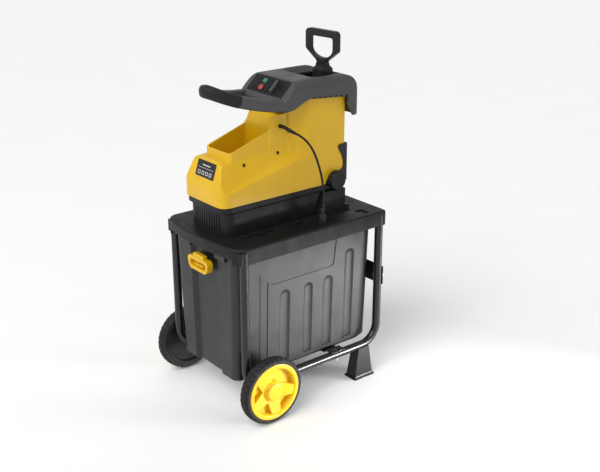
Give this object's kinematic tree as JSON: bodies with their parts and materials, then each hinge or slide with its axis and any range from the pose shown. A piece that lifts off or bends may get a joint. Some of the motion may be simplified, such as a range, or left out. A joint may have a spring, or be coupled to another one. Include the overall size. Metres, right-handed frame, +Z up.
{
  "type": "garden shredder",
  "caption": "Electric silent garden shredder: yellow motor housing and grey hood on a black deck, over a slide-out collection box in a wheeled tube frame.",
  "frame": {"origin": "on the floor under the middle of the footprint", "axes": "+Z up, -Y to the end with the wheels, handle and box lock, +X to the side with the adjusting knob"},
  "size_m": [0.4778, 0.5656, 1.0555],
  "materials": {
    "black_plastic": "fine grained black",
    "dark_grey_plastic": "dark grey, grained",
    "grey_plastic": "satin grey",
    "yellow_plastic": "semi-gloss yellow",
    "black_enamel": "gloss black powder coat",
    "tyre_rubber": "moulded",
    "lead_rubber": "smooth black sheath",
    "steel": "zinc plated or ground",
    "copper": "wound and varnished",
    "cast_alloy": "cast",
    "red_plastic": "gloss red",
    "green_plastic": "gloss green",
    "label": "blank black plate"
  },
  "bodies": {
    "machine": {"deck": "black_plastic", "foot_right": "black_plastic", "foot_left": "black_plastic", "lower_housing": "black_plastic", "rear_cover": "black_plastic", "discharge_chute": "black_plastic", "feed_chute": "black_plastic", "control_panel": "black_plastic", "mains_inlet": "black_plastic", "cable_sleeve": "black_plastic", "interlock_plug": "black_plastic", "grip": "dark_grey_plastic", "switch_box": "dark_grey_plastic", "hood": "grey_plastic", "upper_housing": "yellow_plastic", "side_frame_right": "black_enamel", "side_frame_left": "black_enamel", "rear_brace": "black_enamel", "bottom_brace": "black_enamel", "interlock_lead": "lead_rubber", "axle": "steel", "rear_bolt_right": "steel", "rear_bolt_left": "steel", "strap_bolt_right": "steel", "strap_bolt_left": "steel", "screw_bushing": "steel", "bearing_front": "steel", "bearing_rear": "steel", "housing_screw_right_front": "steel", "housing_screw_right_rear": "steel", "housing_screw_left_front": "steel", "housing_screw_left_rear": "steel", "motor_stator": "copper", "gearbox_housing": "cast_alloy", "capacitor": "cast_alloy", "label_plate": "label"},
    "wheel_right": {"tyre_right": "tyre_rubber", "wheel_core_right": "black_plastic", "wheel_cover_right": "yellow_plastic", "hub_cap_right": "yellow_plastic"},
    "wheel_left": {"tyre_left": "tyre_rubber", "wheel_core_left": "black_plastic", "wheel_cover_left": "yellow_plastic", "hub_cap_left": "yellow_plastic"},
    "drum": {"cutting_drum": "steel", "drum_gear": "steel"},
    "intermediate": {"intermediate_gear": "steel"},
    "rotor": {"motor_rotor": "steel", "cooling_fan": "black_plastic"},
    "adjuster": {"adjusting_knob": "black_plastic", "adjusting_screw": "steel"},
    "plate": {"pressure_plate": "cast_alloy"},
    "box": {"collection_box": "black_plastic"},
    "lock": {"box_lock": "yellow_plastic"},
    "start": {"start_button": "green_plastic"},
    "stop": {"stop_button": "red_plastic"},
    "reset": {"reset_button": "black_plastic"},
    "selector": {"direction_switch": "black_plastic"},
    "pusher": {"plunger": "black_plastic"}
  },
  "joints": [
    {"name": "wheel_right_spin", "type": "hinge", "parent": "machine", "child": "wheel_right", "pos_m": [0.218, -0.1828, 0.1], "axis": [1, 0, 0], "continuous": true},
    {"name": "wheel_left_spin", "type": "hinge", "parent": "machine", "child": "wheel_left", "pos_m": [-0.218, -0.1828, 0.1], "axis": [1, 0, 0], "continuous": true},
    {"name": "drum_spin", "type": "hinge", "parent": "machine", "child": "drum", "pos_m": [-0.018, 0.1227, 0.622], "axis": [0, 1, 0], "continuous": true},
    {"name": "intermediate_spin", "type": "hinge", "parent": "machine", "child": "intermediate", "pos_m": [0.0271, 0.0027, 0.6222], "axis": [0, 1, 0], "continuous": true},
    {"name": "rotor_spin", "type": "hinge", "parent": "machine", "child": "rotor", "pos_m": [0, -0.1073, 0.6], "axis": [0, 1, 0], "continuous": true},
    {"name": "knob_turn", "type": "hinge", "parent": "machine", "child": "adjuster", "pos_m": [0.1, 0.1587, 0.626], "axis": [1, 0, 0], "range_deg": [-720, 720]},
    {"name": "plate_slide", "type": "slide", "parent": "machine", "child": "plate", "axis": [1, 0, 0], "range_m": [-0.004, 0.004]},
    {"name": "box_slide", "type": "slide", "parent": "machine", "child": "box", "axis": [0, -1, 0], "range_m": [0, 0.48]},
    {"name": "lock_slide", "type": "slide", "parent": "box", "child": "lock", "axis": [0, 0, 1], "range_m": [0, 0.036]},
    {"name": "start_press", "type": "slide", "parent": "machine", "child": "start", "axis": [0, 0.7071, -0.7071], "range_m": [0, 0.0025], "stiffness_N_per_m": 400},
    {"name": "stop_press", "type": "slide", "parent": "machine", "child": "stop", "axis": [0, 0.7071, -0.7071], "range_m": [0, 0.0025], "stiffness_N_per_m": 400},
    {"name": "reset_press", "type": "slide", "parent": "machine", "child": "reset", "axis": [0, 0.7071, -0.7071], "range_m": [0, 0.0015], "stiffness_N_per_m": 400},
    {"name": "selector_turn", "type": "hinge", "parent": "machine", "child": "selector", "pos_m": [0.026, -0.01239, 0.91391], "axis": [0, -0.7071, 0.7071], "range_deg": [-35, 35]},
    {"name": "pusher_lift", "type": "slide", "parent": "machine", "child": "pusher", "axis": [0, 0, 1], "range_m": [0, 0.2]}
  ],
  "couplings": [
    {"joint": "intermediate_spin", "follows": "drum_spin", "ratio": -6},
    {"joint": "rotor_spin", "follows": "drum_spin", "ratio": 36},
    {"joint": "plate_slide", "follows": "knob_turn", "m_per_rad": 0.00031831}
  ]
}
